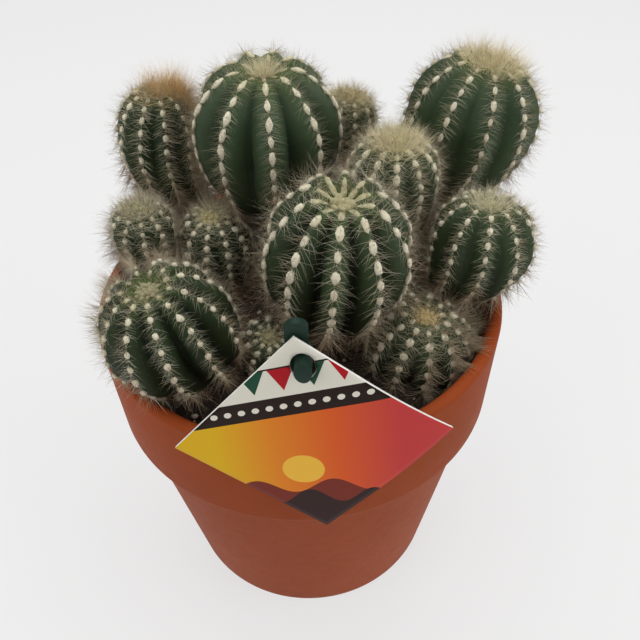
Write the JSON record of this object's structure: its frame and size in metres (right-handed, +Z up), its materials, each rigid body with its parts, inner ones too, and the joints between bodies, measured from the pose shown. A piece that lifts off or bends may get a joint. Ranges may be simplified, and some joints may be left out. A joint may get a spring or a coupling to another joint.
{
  "type": "potted round cactus",
  "caption": "Clump of ribbed round cactus heads with spines, in a collared terracotta pot, with a square plant label hung on a stake.",
  "frame": {"origin": "the middle of the pot's flat underside", "axes": "+Z up, along the pot's axis; -Y the front, where the label hangs over the rim; +X to the right as seen from the front"},
  "size_m": [0.1567, 0.1406, 0.185],
  "materials": {
    "pot": "matte",
    "soil": "matte",
    "cactus": "matte",
    "label_card": "satin",
    "label_stake": "satin"
  },
  "bodies": {
    "root": {"pot": "pot", "soil": "soil", "head_back_left": "cactus", "head_back_big": "cactus", "head_back_small": "cactus", "head_back_right": "cactus", "head_mid_right": "cactus", "head_centre_big": "cactus", "head_right": "cactus", "head_front_right": "cactus", "head_left_small": "cactus", "head_left_mid": "cactus", "head_front_left_big": "cactus", "head_front_small": "cactus", "label_card": "label_card", "label_stake": "label_stake"}
  },
  "joints": []
}
